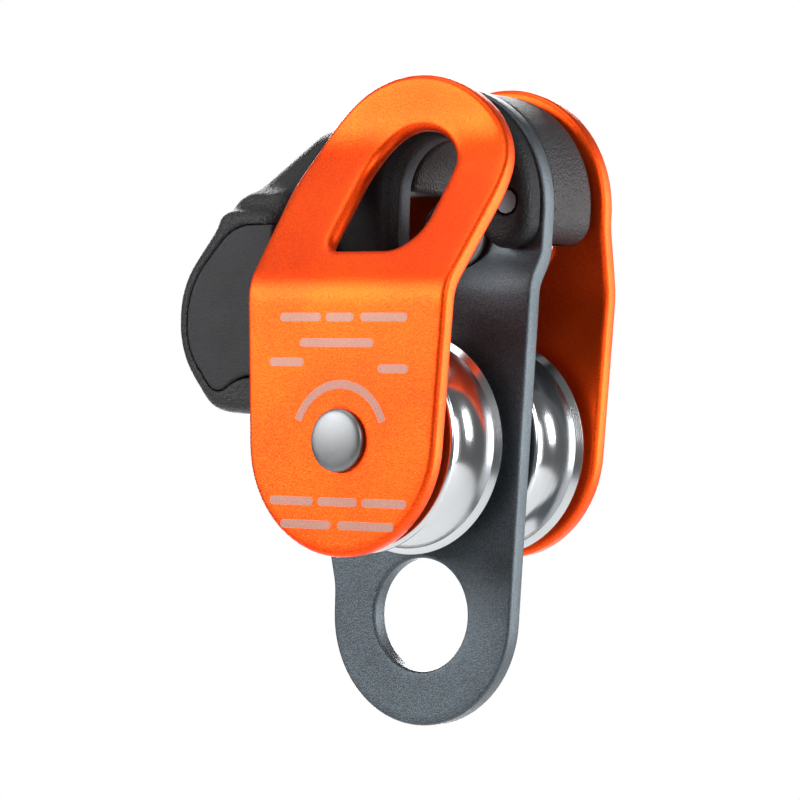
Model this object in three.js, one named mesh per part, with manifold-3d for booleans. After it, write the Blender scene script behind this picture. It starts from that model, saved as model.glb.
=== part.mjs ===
// Double rope pulley with a progress-capture cam, in millimetres, +Z up.
// Three plates carry two ball-bearing sheaves on one riveted axle. The centre plate ends in a becket
// hole below and shares the anchor slot with the two swinging side plates above. A sprung cam over the
// rear sheave is worked by a hollow moulded lever that reaches round the left side of the plates.
// Everything is drawn with the axle's axis on Y through the origin, then lifted so that the model's
// origin is the centre of the anchor slot's arc in the centre plate.

import * as THREE from 'three';
import { mergeVertices } from 'three/addons/utils/BufferGeometryUtils.js';
import Module from 'manifold-3d';

const wasm = await Module();
wasm.setup();

// ---- Driving dimensions ----

const GAP = 0.3;                 // clearance between pieces that meet
const ANCHOR_Z = 45.1;           // anchor slot's arc centre above the axle
const ARC_STEP = 15;             // degrees per segment on outlines

const PLATE_T = 3.35;
const FRONT_PLATE_Y = -25.17;    // middle of the front plate at the axle
const FRONT_PLATE_TOP_Y = -5.85; // and at its top
const CENTRE_PLATE_Y = -0.05;
const CENTRE_PLATE_TOP_Y = 2.9;
const REAR_PLATE_Y = 24.17;
const REAR_PLATE_TOP_Y = 20.87;

const PLATE_FOOT_R = 20.05;      // side plates' round foot about the axle
const PLATE_HEAD_R = 22.4;       // side plates' round head
const PLATE_HEAD_Z = 42.6;
const CENTRE_HEAD_R = 22.0;
const CENTRE_HEAD_Z = 41.8;
const BECKET_Z = -30.14;
const BECKET_OUTER_R = 19.26;
const BECKET_EDGE_Z = -30.44;      // centre of the becket's round end
const BECKET_HOLE_R = 10;

const AXLE_R = 4;
const RIVET_HEAD_R = 5.5;
const RIVET_DOME = 1.9;          // height of each rivet head, with its straight edge
const RIVET_EDGE = 0.7;          // height of that straight edge

const SHEAVE_R = 19.5;
const SHEAVE_W = 15.3;
const GROOVE_R = 6;              // rope groove's own radius
const GROOVE_BOTTOM_R = 13.3;
const FRONT_SHEAVE_Y = -12.87;
const REAR_SHEAVE_Y = 12.4;
const SHEAVE_BORE_R = 11.9;
const SHEAVE_LIP = 0.8;          // bevel on the sheave's rim

const BEARING_W = 9;
const OUTER_RACE_R = SHEAVE_BORE_R - GAP;
const OUTER_RACE_BORE_R = 9.8;
const INNER_RACE_R = 6.2;
const BALL_R = 1.6;
const BALL_COUNT = 7;
const BALL_PITCH_R = (OUTER_RACE_BORE_R + INNER_RACE_R) / 2;
const CAGE_T = 1.2;
const CAGE_W = 5.2;
const SEAL_T = 0.7;
const SEAL_INSET = 0.2;
const BUSH_FLANGE_R = 9.6;
const BUSH_FLANGE_T = 1.4;

const PIVOT_X = 4.2;             // cam pivot
const PIVOT_Z = 37.4;
const PIVOT_R = 3.5;
const PIVOT_FLANGE_R = 6.3;
const PIVOT_FLANGE_T = 1.2;
const PIVOT_SEAT_GAP = 0.4;      // room round the flange in its counterbore
const SEAT_CUT_Y = -20;          // the counterbore is cut from in front of the plate
const HUB_R = 7;                 // the cam's and the lever's hub

const CAM_Y0 = 8.4;
const CAM_Y1 = 15.8;
const CAM_REST_R = 19;           // cam's radius on the line to the axle when it rests
const CAM_GROWTH = 0.53;         // natural-log growth of that radius per radian
const CAM_TEETH = 9;
const CAM_TOOTH = 0.8;

const LEVER_Y0 = 5;              // lever's part between the plates
const LEVER_Y1 = 18.6;
const LEVER_HEAD_R = 20.9;
const PADDLE_Y0 = -16;
const PADDLE_INNER_X = -24.6;
const PADDLE_OUTER_X = -47.2;
const PADDLE_FOOT_Z = 3.2;
const PADDLE_TOP_Z = 58;
const PADDLE_EDGE_R = 3;         // rounding of the paddle's long edges
const WALL = 2.5;                // paddle's wall, twice that at the front

const SPACER_Y0 = -3.6;
const SPACER_Y1 = 0.9;

// ---- Materials ----

function material(color, roughness, metalness) {
  return new THREE.MeshStandardMaterial({ color, roughness, metalness });
}

const orangeAnodised = material(0xf25a06, 0.38, 0.7);
const greyAnodised = material(0x4a5054, 0.42, 0.7);
const turnedAluminium = material(0xd9dcdf, 0.18, 1);
const steel = material(0xb4b6b9, 0.3, 1);
const springSteel = material(0x8d9093, 0.35, 1);
const bronze = material(0xb08a4a, 0.4, 1);
const blackPlastic = material(0x232427, 0.62, 0);
const sealRubber = material(0x1a1a1b, 0.8, 0);

// ---- Solids: closed meshes joined and cut ----

function toSolid(geometry) {
  const bare = geometry.clone();
  bare.deleteAttribute('normal');
  bare.deleteAttribute('uv');
  const merged = mergeVertices(bare, 1e-4);
  return new wasm.Manifold(new wasm.Mesh({
    numProp: 3,
    vertProperties: new Float32Array(merged.attributes.position.array),
    triVerts: new Uint32Array(merged.index.array),
  }));
}

function toGeometry(solid) {
  const mesh = solid.getMesh();
  const geometry = new THREE.BufferGeometry();
  geometry.setAttribute('position', new THREE.BufferAttribute(new Float32Array(mesh.vertProperties), 3));
  geometry.setIndex(new THREE.BufferAttribute(new Uint32Array(mesh.triVerts), 1));
  geometry.computeVertexNormals();
  return geometry;
}

function union(solids) {
  return solids.reduce((sum, solid) => sum.add(solid));
}

// ---- Outlines: lists of points ----

function radians(degrees) {
  return degrees * Math.PI / 180;
}

function arc(cx, cy, radius, from, to, step = ARC_STEP) {
  const count = Math.max(1, Math.round(Math.abs(to - from) / step));
  return Array.from({ length: count + 1 }, (_, i) => {
    const angle = radians(from + (to - from) * i / count);
    return new THREE.Vector2(cx + radius * Math.cos(angle), cy + radius * Math.sin(angle));
  });
}

// Replaces each corner [x, y, radius] of a polygon or an open path by a tangent arc.
function filleted(corners, closed = true, step = ARC_STEP) {
  const points = [];
  corners.forEach(([x, y, radius = 0], i) => {
    const here = new THREE.Vector2(x, y);
    const isEnd = !closed && (i === 0 || i === corners.length - 1);
    if (isEnd || radius === 0) {
      points.push(here);
      return;
    }
    const before = corners[(i + corners.length - 1) % corners.length];
    const after = corners[(i + 1) % corners.length];
    const toBefore = new THREE.Vector2(before[0] - x, before[1] - y).normalize();
    const toAfter = new THREE.Vector2(after[0] - x, after[1] - y).normalize();
    const half = Math.acos(toBefore.dot(toAfter)) / 2;
    const bisector = toBefore.clone().add(toAfter).normalize();
    const centre = here.clone().addScaledVector(bisector, radius / Math.sin(half));
    const start = here.clone().addScaledVector(toBefore, radius / Math.tan(half)).sub(centre);
    const turn = Math.sign(start.cross(bisector.clone().negate())) * (Math.PI - 2 * half);
    const count = Math.max(2, Math.ceil(Math.abs(turn) / radians(step)));
    for (let k = 0; k <= count; k += 1) {
      points.push(start.clone().rotateAround(new THREE.Vector2(), turn * k / count).add(centre));
    }
  });
  return points;
}

// Two circles on the Z axis joined by their common tangents.
function pearOutline(footZ, footR, headZ, headR) {
  const lean = Math.asin((headR - footR) / (headZ - footZ)) * 180 / Math.PI;
  return [
    ...arc(0, footZ, footR, 180 + lean, 360 - lean, 9),
    ...arc(0, headZ, headR, -lean, 180 + lean, 9),
  ];
}

// ---- Prisms and turned bodies ----

// An outline drawn in X and Z, extruded from y0 to y1.
function prismY(points, y0, y1) {
  const options = { depth: y1 - y0, bevelEnabled: false };
  const geometry = new THREE.ExtrudeGeometry(new THREE.Shape(points), options);
  return toSolid(geometry.rotateX(Math.PI / 2).translate(0, y1, 0));
}

// An outline drawn in Y and Z, extruded from x0 to x1.
function prismX(points, x0, x1) {
  const options = { depth: x1 - x0, bevelEnabled: false };
  const geometry = new THREE.ExtrudeGeometry(new THREE.Shape(points), options);
  const turn = new THREE.Matrix4().makeBasis(
    new THREE.Vector3(0, 1, 0), new THREE.Vector3(0, 0, 1), new THREE.Vector3(1, 0, 0),
  ).setPosition(x0, 0, 0);
  return toSolid(geometry.applyMatrix4(turn));
}

// An outline drawn in X and Y, extruded from z0 to z1.
function prismZ(points, z0, z1) {
  const options = { depth: z1 - z0, bevelEnabled: false };
  const geometry = new THREE.ExtrudeGeometry(new THREE.Shape(points), options);
  return toSolid(geometry.translate(0, 0, z0));
}

function cylinderY(x, z, radius, y0, y1, sides = 24) {
  const geometry = new THREE.CylinderGeometry(radius, radius, y1 - y0, sides);
  return toSolid(geometry.translate(x, (y0 + y1) / 2, z));
}

// A closed profile of [radius, y] pairs turned about the axle's axis.
function turned(profile, sides) {
  const points = [...profile, profile[0]].map(([radius, y]) => new THREE.Vector2(radius, y));
  return toSolid(new THREE.LatheGeometry(points, sides));
}

function ring(innerR, outerR, y0, y1, sides = 24) {
  return turned([[innerR, y0], [outerR, y0], [outerR, y1], [innerR, y1]], sides);
}

// ---- Plates ----

// A bent strip's section in Y and Z: a centre line with rounded bends, thickened both ways.
function stripSection(corners, thickness) {
  const line = filleted(corners, false, 6);
  const offset = (side) => line.map((point, i) => {
    const ahead = line[Math.min(i + 1, line.length - 1)];
    const behind = line[Math.max(i - 1, 0)];
    const normal = ahead.clone().sub(behind).normalize().rotateAround(new THREE.Vector2(), Math.PI / 2);
    return point.clone().addScaledVector(normal, side * thickness / 2);
  });
  return [...offset(-1), ...offset(1).reverse()];
}

const STRIP_LOW = -60;           // the strips run on past every outline
const STRIP_HIGH = 80;
const frontBends = [
  [FRONT_PLATE_Y, STRIP_LOW], [FRONT_PLATE_Y, 26.7, 8], [FRONT_PLATE_TOP_Y, 52.4, 18],
  [FRONT_PLATE_TOP_Y, STRIP_HIGH],
];
const centreBends = [
  [CENTRE_PLATE_Y, STRIP_LOW], [CENTRE_PLATE_Y, 28.5, 6], [CENTRE_PLATE_TOP_Y, 33.5, 6],
  [CENTRE_PLATE_TOP_Y, STRIP_HIGH],
];
const rearBends = [
  [REAR_PLATE_Y, STRIP_LOW], [REAR_PLATE_Y, 28, 16], [REAR_PLATE_TOP_Y, 40, 16],
  [REAR_PLATE_TOP_Y, STRIP_HIGH],
];

const SIDE_SLOT = filleted([
  [-8, 33.4, 2.5], [10.8, 33.4, 6], [10.8, 55.4, 9.35], [-8, 55.4, 9.35],
]);
const SLOT_HALF = 9.4;
// The centre plate's slot narrows to the left below, to leave metal round the cam pivot.
const CENTRE_SLOT = [
  ...filleted([
    [-SLOT_HALF, 44.5, 0], [-SLOT_HALF, 34.2, 2.2], [-4, 34.2, 2.2], [-4, 40.4, 4], [0, 44.5, 4],
    [SLOT_HALF, 44.5, 0],
  ], false),
  ...arc(0, ANCHOR_Z, SLOT_HALF, 0, 180),
];

const REACH = 60;                // half-length of a cutter that goes right through

function bentPlate(bends, outline) {
  const strip = prismX(stripSection(bends, PLATE_T), -REACH, REACH);
  return strip.intersect(prismY(outline, -REACH, REACH));
}

function boreY(x, z, radius, sides) {
  return cylinderY(x, z, radius, -REACH, REACH, sides);
}

function sidePlate(bends) {
  return bentPlate(bends, pearOutline(0, PLATE_FOOT_R, PLATE_HEAD_Z, PLATE_HEAD_R))
    .subtract(prismY(SIDE_SLOT, -REACH, REACH))
    .subtract(boreY(0, 0, AXLE_R + GAP));
}

const LEFT_FLANK = [[-20.9, 16], [-21.35, -17, 6], [-19.3, -25.6, 12]];

// The centre plate's outline: head, left flank narrowing above the becket, becket and straight right flank.
function centreOutline() {
  const lean = Math.asin((CENTRE_HEAD_R - BECKET_OUTER_R) / (CENTRE_HEAD_Z - BECKET_EDGE_Z)) * 180 / Math.PI;
  const flank = filleted([...LEFT_FLANK, [-BECKET_OUTER_R, BECKET_EDGE_Z]], false);
  return [
    ...arc(0, CENTRE_HEAD_Z, CENTRE_HEAD_R, -lean, 180 + lean, 9),
    ...flank.slice(0, -1),
    ...arc(0, BECKET_EDGE_Z, BECKET_OUTER_R, 180, 360 - lean, 9),
  ];
}

function centrePlate() {
  const topFace = CENTRE_PLATE_TOP_Y - PLATE_T / 2;
  return bentPlate(centreBends, centreOutline())
    .subtract(prismY(CENTRE_SLOT, -REACH, REACH))
    .subtract(boreY(0, BECKET_Z, BECKET_HOLE_R, 40))
    .subtract(boreY(0, 0, AXLE_R + GAP))
    .subtract(boreY(PIVOT_X, PIVOT_Z, PIVOT_R + GAP))
    .subtract(cylinderY(PIVOT_X, PIVOT_Z, PIVOT_FLANGE_R + PIVOT_SEAT_GAP, SEAT_CUT_Y, topFace, 32))
    .subtract(boresAt(SPACER_SCREWS, SCREW_R + GAP))
    .subtract(boreY(STOP_X, STOP_Z, STOP_R + GAP, 12));
}

// ---- Axle, bearings and sheaves ----

function axle() {
  const frontFace = FRONT_PLATE_Y - PLATE_T / 2 - GAP;
  const rearFace = REAR_PLATE_Y + PLATE_T / 2 + GAP;
  // Each head is a crown of a quarter ellipse on a straight edge.
  const crown = [90, 55, 25, 0].map((angle) => [
    RIVET_HEAD_R * Math.cos(radians(angle)),
    RIVET_EDGE + (RIVET_DOME - RIVET_EDGE) * Math.sin(radians(angle)),
  ]);
  return turned([
    ...crown.map(([radius, height]) => [radius, frontFace - height]),
    [RIVET_HEAD_R, frontFace], [AXLE_R, frontFace], [AXLE_R, rearFace], [RIVET_HEAD_R, rearFace],
    ...crown.reverse().map(([radius, height]) => [radius, rearFace + height]),
  ], 24);
}

function sheave(y) {
  const half = SHEAVE_W / 2;
  const face = SHEAVE_R - SHEAVE_LIP;
  const grooveCentre = GROOVE_BOTTOM_R + GROOVE_R;
  const groove = arc(grooveCentre, y, GROOVE_R, 95, 265, 17).map((point) => [point.x, point.y]);
  return turned([
    [SHEAVE_BORE_R, y - half], [face, y - half], [SHEAVE_R, y - half + SHEAVE_LIP],
    ...groove.reverse(),
    [SHEAVE_R, y + half - SHEAVE_LIP], [face, y + half], [SHEAVE_BORE_R, y + half],
  ], 40);
}

function outerRace(y) {
  return ring(OUTER_RACE_BORE_R, OUTER_RACE_R, y - BEARING_W / 2, y + BEARING_W / 2);
}

function innerRace(y) {
  return ring(AXLE_R + GAP, INNER_RACE_R, y - BEARING_W / 2, y + BEARING_W / 2);
}

// Balls of the given radius, evenly spaced round the bearing at y.
function ballRow(y, radius) {
  const ball = toSolid(new THREE.IcosahedronGeometry(radius, 1));
  return Array.from({ length: BALL_COUNT }, (_, i) => {
    const angle = 2 * Math.PI * i / BALL_COUNT;
    return ball.translate([BALL_PITCH_R * Math.cos(angle), y, BALL_PITCH_R * Math.sin(angle)]);
  });
}

// A crown cage: a thin band with a square pocket round each ball.
function ballCage(y) {
  const pocket = 2 * (BALL_R + GAP);
  const block = toSolid(new THREE.BoxGeometry(pocket, pocket, pocket));
  const pockets = Array.from({ length: BALL_COUNT }, (_, i) => {
    const turn = 360 * i / BALL_COUNT;
    return block.translate([BALL_PITCH_R, y, 0]).rotate([0, -turn, 0]);
  });
  const innerR = BALL_PITCH_R - CAGE_T / 2;
  const outerR = BALL_PITCH_R + CAGE_T / 2;
  const band = ring(innerR, outerR, y - CAGE_W / 2, y + CAGE_W / 2, 21);
  return band.subtract(union(pockets));
}

// A thin seal lies just inside each end of a bearing; side is -1 or 1.
function seal(y, side) {
  const outer = y + side * (BEARING_W / 2 - SEAL_INSET);
  const inner = outer - side * SEAL_T;
  return ring(INNER_RACE_R + GAP, OUTER_RACE_BORE_R - GAP, Math.min(inner, outer), Math.max(inner, outer));
}

// A flanged distance bush carries each inner race off a plate: plateY is the plate's face.
function distanceBush(plateY, bearingY) {
  const side = Math.sign(bearingY - plateY);
  const start = plateY + side * GAP;
  const end = bearingY - side * (BEARING_W / 2 + GAP);
  const flangeEnd = start + side * BUSH_FLANGE_T;
  const profile = [
    [AXLE_R + GAP, start], [BUSH_FLANGE_R, start], [BUSH_FLANGE_R, flangeEnd],
    [INNER_RACE_R, flangeEnd], [INNER_RACE_R, end], [AXLE_R + GAP, end],
  ];
  return turned(side > 0 ? profile : profile.reverse(), 24);
}

// ---- Front spacer ----

const SPACER_R = CENTRE_HEAD_R - 0.5;
const SPACER_SCREWS = [[17, 42.6], [-15.6, 51.5], [0, 59.2]];
const SCREW_R = 1.25;
const SCREW_HEAD_R = 2.1;
const SCREW_HEAD_T = 1.1;
const SCREW_SINK = 0.1;          // screw heads lie this far below the spacer's face
const STOP_X = -17;              // the lever's arm rests on this pin
const STOP_Z = 43.6;
const STOP_R = 1.5;
const STOP_SEAT = 1.2;
const STOP_REACH = 4;

function boresAt(places, radius) {
  return union(places.map(([x, z]) => boreY(x, z, radius, 12)));
}

// An arch with a short leg on each side of the anchor slot; the right leg stops short of the pivot.
const SPACER_ARCH = [
  ...filleted([
    [SPACER_R, CENTRE_HEAD_Z, 0], [SPACER_R - 0.3, 34.6, 5], [11.6, 34.6, 3.5], [11.6, 40, 0],
  ], false),
  ...arc(0, ANCHOR_Z, SLOT_HALF, 0, 180),
  ...filleted([
    [-SLOT_HALF, 44, 0], [-SLOT_HALF, 32.6, 1], [-SPACER_R + 0.4, 32.6, 4], [-SPACER_R, CENTRE_HEAD_Z, 0],
  ], false),
  ...arc(0, CENTRE_HEAD_Z, SPACER_R, 174, 6, 9),
];

function frontSpacer() {
  const centreStrip = prismX(stripSection(centreBends, PLATE_T + 2 * GAP), -REACH, REACH);
  const headSeats = SPACER_SCREWS.map(([x, z]) => (
    cylinderY(x, z, SCREW_HEAD_R + GAP, -REACH, SPACER_Y0 + SCREW_SINK + SCREW_HEAD_T + GAP, 12)
  ));
  return prismY(SPACER_ARCH, SPACER_Y0, SPACER_Y1)
    .subtract(centreStrip)
    .subtract(boresAt(SPACER_SCREWS, SCREW_R + GAP))
    .subtract(union(headSeats));
}

function spacerScrew([x, z]) {
  const headFace = SPACER_Y0 + SCREW_SINK;
  const shank = cylinderY(x, z, SCREW_R, headFace, CENTRE_PLATE_TOP_Y + PLATE_T / 2, 12);
  return shank.add(cylinderY(x, z, SCREW_HEAD_R, headFace, headFace + SCREW_HEAD_T, 12));
}

// ---- Cam, its pivot and spring ----

const CAM_TAIL = [
  [3, 33, 2], [16.2, 38.6, 1.5], [16.2, 49.5, 1.5], [12.4, 49.5, 1], [9.6, 43, 1], [0, 43, 1],
];
const CAM_RIVETS = [[12.6, 41.2], [14.2, 46.6]];
const CAM_RIVET_R = 1.2;
const CAM_RIVET_SINK = 0.2;
const CAM_BUSH_R = PIVOT_R + 1.4;
const CAM_EDGE_FROM = -36;       // degrees from the line to the axle, on the right of it
const CAM_EDGE_TO = 30;
const NOSE_RIGHT = 5;            // the nose's half-widths at the pivot
const NOSE_LEFT = 5.5;

// The cam's working edge: saw teeth on a logarithmic spiral about the pivot, from the right, where it
// is small, to the nose on the left.
function camEdge() {
  const toAxle = Math.atan2(-PIVOT_Z, -PIVOT_X);
  const first = radians(CAM_EDGE_FROM);
  const last = radians(CAM_EDGE_TO);
  const points = [];
  for (let i = 0; i <= CAM_TEETH; i += 1) {
    const along = first + (last - first) * i / CAM_TEETH;
    const radius = CAM_REST_R * Math.exp(CAM_GROWTH * along);
    [radius - CAM_TOOTH, radius].forEach((reach) => {
      const angle = toAxle - along;
      points.push(new THREE.Vector2(PIVOT_X + reach * Math.cos(angle), PIVOT_Z + reach * Math.sin(angle)));
    });
  }
  return points;
}

function cam() {
  const nose = [
    new THREE.Vector2(PIVOT_X + NOSE_RIGHT, PIVOT_Z), ...camEdge(),
    new THREE.Vector2(PIVOT_X - NOSE_LEFT, PIVOT_Z),
  ];
  return cylinderY(PIVOT_X, PIVOT_Z, HUB_R, CAM_Y0, CAM_Y1)
    .add(prismY(nose, CAM_Y0, CAM_Y1))
    .add(prismY(filleted(CAM_TAIL), CAM_Y0, CAM_Y1))
    .subtract(boreY(PIVOT_X, PIVOT_Z, CAM_BUSH_R + GAP))
    .subtract(boresAt(CAM_RIVETS, CAM_RIVET_R + GAP));
}

function camBush() {
  return ringAtPivot(PIVOT_R + GAP, CAM_BUSH_R, CAM_Y0, CAM_Y1);
}

function camRivet([x, z]) {
  return cylinderY(x, z, CAM_RIVET_R, LEVER_Y0 + CAM_RIVET_SINK, LEVER_Y1 - CAM_RIVET_SINK, 12);
}

const RETAINER_Y0 = 17.75;
const RETAINER_Y1 = 18.1;
const RETAINER_R = PIVOT_R + 1.6;
const RETAINER_GROOVE = 0.6;     // depth of the pin's groove
const RETAINER_MOUTH = [[0, -1.2, 0], [9, -2.4, 0], [9, 2.4, 0], [0, 1.2, 0]];
const PIN_END = 0.2;             // the pin stands this far out of the lever

function pivotPin() {
  const flangeBack = CENTRE_PLATE_TOP_Y - PLATE_T / 2 - GAP;
  return cylinderY(PIVOT_X, PIVOT_Z, PIVOT_FLANGE_R, flangeBack - PIVOT_FLANGE_T, flangeBack, 32)
    .add(cylinderY(PIVOT_X, PIVOT_Z, PIVOT_R, flangeBack - PIVOT_FLANGE_T / 2, LEVER_Y1 + PIN_END))
    .subtract(ringAtPivot(PIVOT_R - RETAINER_GROOVE, HUB_R, RETAINER_Y0 - GAP, RETAINER_Y1 + GAP));
}

function ringAtPivot(innerR, outerR, y0, y1) {
  return cylinderY(PIVOT_X, PIVOT_Z, outerR, y0, y1).subtract(boreY(PIVOT_X, PIVOT_Z, innerR));
}

// An open retaining ring snaps into the pin's groove from the right.
function retainingRing() {
  const mouth = prismY(filleted(RETAINER_MOUTH), -REACH, REACH).translate([PIVOT_X, 0, PIVOT_Z]);
  return ringAtPivot(PIVOT_R - RETAINER_GROOVE + GAP, RETAINER_R, RETAINER_Y0, RETAINER_Y1).subtract(mouth);
}

const SPRING_R = 4.65;
const SPRING_WIRE_R = 0.4;
const SPRING_TURNS = 2.25;
const SPRING_PITCH = 1.05;

// The wire winds round the pivot, between the centre plate and the cam.
function camSpring() {
  const steps = 34;
  const start = CENTRE_PLATE_TOP_Y + PLATE_T / 2 + SPRING_WIRE_R + GAP;
  const points = Array.from({ length: steps + 1 }, (_, i) => {
    const angle = 2 * Math.PI * SPRING_TURNS * i / steps;
    const y = start + SPRING_PITCH * SPRING_TURNS * i / steps;
    return new THREE.Vector3(PIVOT_X + SPRING_R * Math.cos(angle), y, PIVOT_Z + SPRING_R * Math.sin(angle));
  });
  const wire = new THREE.Shape(arc(0, 0, SPRING_WIRE_R, 0, 300, 60));
  const options = { steps, bevelEnabled: false, extrudePath: new THREE.CatmullRomCurve3(points) };
  return toSolid(new THREE.ExtrudeGeometry(wire, options));
}

function stopPin() {
  return cylinderY(STOP_X, STOP_Z, STOP_R, CENTRE_PLATE_TOP_Y - STOP_SEAT, LEVER_Y0 + STOP_REACH, 12);
}

// ---- Lever ----

// The lid is seen from the front; its straight right end reaches the paddle's open side.
const LID_END_X = PADDLE_INNER_X - 0.4;
const LID = [
  [LID_END_X, 38.6, 0.5], [-33.5, 38.8, 8], [-43.9, 26.5, 10], [-43.9, 17.5, 9], [-36.7, 7.7, 2.5],
  [-31.8, 11, 8], [LID_END_X, 12, 0.5],
];
const LID_MIDDLE = [-34, 24];
const LID_FRONT = PADDLE_Y0 + 0.1;
const LID_T = 1.9;

// The lever's part between the plates: hub, right leg, and an arch over the anchor slot to the left arm.
const WINDOW_R = SLOT_HALF + GAP;
const LEVER_ARCH = [
  ...arc(PIVOT_X, PIVOT_Z, HUB_R, 96, 320, 20),
  ...filleted([[11, 36.2, 0], [20.6, 36.2, 4.5], [LEVER_HEAD_R, 42.5, 0]], false),
  ...arc(0, PLATE_HEAD_Z, LEVER_HEAD_R, 0, 108, 9),
  ...filleted([
    [-14, 61.6, 30], [-27.5, 57.8, 0], [-27.5, 45.5, 0], [-WINDOW_R, 45.5, 1.2], [-WINDOW_R, 47, 0],
  ], false),
  ...arc(0, ANCHOR_Z, WINDOW_R, 168, 6),
  ...filleted([[WINDOW_R, 44.4, 0], [PIVOT_X + 1, 44.4, 0]], false),
];

// The paddle outside the plates, seen from the front, from the side and from above.
const PADDLE_FRONT = filleted([
  [PADDLE_INNER_X, PADDLE_FOOT_Z, 2], [PADDLE_INNER_X, PADDLE_TOP_Z, 1], [-30.2, 57, 2],
  [-37.9, 42, 2.5], [-38.8, 38.5, 2.5], [PADDLE_OUTER_X, 27.5, 10], [PADDLE_OUTER_X, 15.5, 12],
  [-38.2, 4.2, 8],
]);
// The front is flat over the lid, then a shoulder with a small step leads to a ramp up to the arm.
const PADDLE_SIDE = filleted([
  [PADDLE_Y0, PADDLE_FOOT_Z, PADDLE_EDGE_R], [LEVER_Y1, PADDLE_FOOT_Z, PADDLE_EDGE_R],
  [LEVER_Y1, PADDLE_TOP_Z + 4, 0], [LEVER_Y0 + 3.4, PADDLE_TOP_Z + 4, 0],
  [-7.5, 46, 3], [-11.8, 44, 1.5], [-13.2, 41.4, 1], [PADDLE_Y0, 40.6, 1.5],
]);
// The outline from above lies just outside the paddle's outer side, so that it only rounds the edges.
const PADDLE_TOP_X = PADDLE_OUTER_X - 0.2;
const PADDLE_TOP = filleted([
  [0, PADDLE_Y0, 0], [PADDLE_TOP_X, PADDLE_Y0, PADDLE_EDGE_R],
  [PADDLE_TOP_X, LEVER_Y1, PADDLE_EDGE_R], [0, LEVER_Y1, 0],
]);
const HOLLOW_FRONT = filleted([
  [0, PADDLE_FOOT_Z + WALL, 0], [0, 41, 0], [-35.8, 41, 1], [-35.8, 37.6, 2],
  [PADDLE_OUTER_X + WALL, 26.6, 8], [PADDLE_OUTER_X + WALL, 16.4, 9], [-37.3, PADDLE_FOOT_Z + WALL, 6],
]);
const CAM_TAIL_POCKET = filleted([
  [0, 30, 0], [16.6, 30, 0], [16.6, 50, 3], [11.6, 50, 0], [8.4, 44.6, 0], [0, 44.6, 0],
]);

function paddle() {
  return prismY(PADDLE_FRONT, PADDLE_Y0, LEVER_Y1)
    .intersect(prismX(PADDLE_SIDE, -REACH, 0))
    .intersect(prismZ(PADDLE_TOP, 0, REACH))
    .subtract(prismY(HOLLOW_FRONT, PADDLE_Y0 + 2 * WALL, LEVER_Y1 - WALL));
}

// The lid's seat is the lid's outline let out by the gap, and open at the paddle's inner side.
function lidSeat() {
  const [centreX, centreZ] = LID_MIDDLE;
  const corners = LID.map(([x, z, radius]) => [
    x === LID_END_X ? PADDLE_INNER_X + 1 : x + Math.sign(x - centreX) * GAP,
    z + Math.sign(z - centreZ) * GAP,
    radius,
  ]);
  return prismY(filleted(corners), PADDLE_Y0 - 1, LID_FRONT + LID_T + GAP);
}

function leverBody() {
  const camY0 = CAM_Y0 - GAP;
  const camY1 = CAM_Y1 + GAP;
  return prismY(LEVER_ARCH, LEVER_Y0, LEVER_Y1)
    .add(paddle())
    .subtract(cylinderY(PIVOT_X, PIVOT_Z, HUB_R + GAP, camY0, camY1))
    .subtract(prismY(CAM_TAIL_POCKET, camY0, camY1))
    .subtract(cylinderY(PIVOT_X, PIVOT_Z, SPRING_R + SPRING_WIRE_R + GAP, 0, CAM_Y0))
    .subtract(cylinderY(PIVOT_X, PIVOT_Z, RETAINER_R + GAP, RETAINER_Y0 - GAP, REACH))
    .subtract(boreY(PIVOT_X, PIVOT_Z, PIVOT_R + GAP))
    .subtract(boresAt(CAM_RIVETS, CAM_RIVET_R + GAP))
    .subtract(lidSeat());
}

function leverLid() {
  return prismY(filleted(LID), LID_FRONT, LID_FRONT + LID_T);
}

// ---- Scene graph ----

const pulley = new THREE.Group();
pulley.position.z = -ANCHOR_Z;

function addPiece(name, solid, pieceMaterial) {
  const mesh = new THREE.Mesh(toGeometry(solid), pieceMaterial);
  mesh.name = name;
  pulley.add(mesh);
}

const frontPlateBack = FRONT_PLATE_Y + PLATE_T / 2;
const centrePlateFront = CENTRE_PLATE_Y - PLATE_T / 2;
const centrePlateBack = CENTRE_PLATE_Y + PLATE_T / 2;
const rearPlateFront = REAR_PLATE_Y - PLATE_T / 2;

addPiece('centre_plate', centrePlate(), greyAnodised);
addPiece('front_plate', sidePlate(frontBends), orangeAnodised);
addPiece('rear_plate', sidePlate(rearBends), orangeAnodised);
addPiece('axle', axle(), steel);
[['front', FRONT_SHEAVE_Y], ['rear', REAR_SHEAVE_Y]].forEach(([place, y]) => {
  addPiece(`${place}_sheave`, sheave(y), turnedAluminium);
  addPiece(`${place}_outer_race`, outerRace(y), steel);
  addPiece(`${place}_inner_race`, innerRace(y), steel);
  addPiece(`${place}_cage`, ballCage(y), springSteel);
  ballRow(y, BALL_R).forEach((ball, i) => addPiece(`${place}_ball_${i + 1}`, ball, steel));
  addPiece(`${place}_seal_a`, seal(y, -1), sealRubber);
  addPiece(`${place}_seal_b`, seal(y, 1), sealRubber);
});
addPiece('front_outer_bush', distanceBush(frontPlateBack, FRONT_SHEAVE_Y), steel);
addPiece('front_inner_bush', distanceBush(centrePlateFront, FRONT_SHEAVE_Y), steel);
addPiece('rear_inner_bush', distanceBush(centrePlateBack, REAR_SHEAVE_Y), steel);
addPiece('rear_outer_bush', distanceBush(rearPlateFront, REAR_SHEAVE_Y), steel);
addPiece('front_spacer', frontSpacer(), blackPlastic);
SPACER_SCREWS.forEach((place, i) => addPiece(`spacer_screw_${i + 1}`, spacerScrew(place), steel));
addPiece('cam_pivot_pin', pivotPin(), steel);
addPiece('pivot_retaining_ring', retainingRing(), springSteel);
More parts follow.
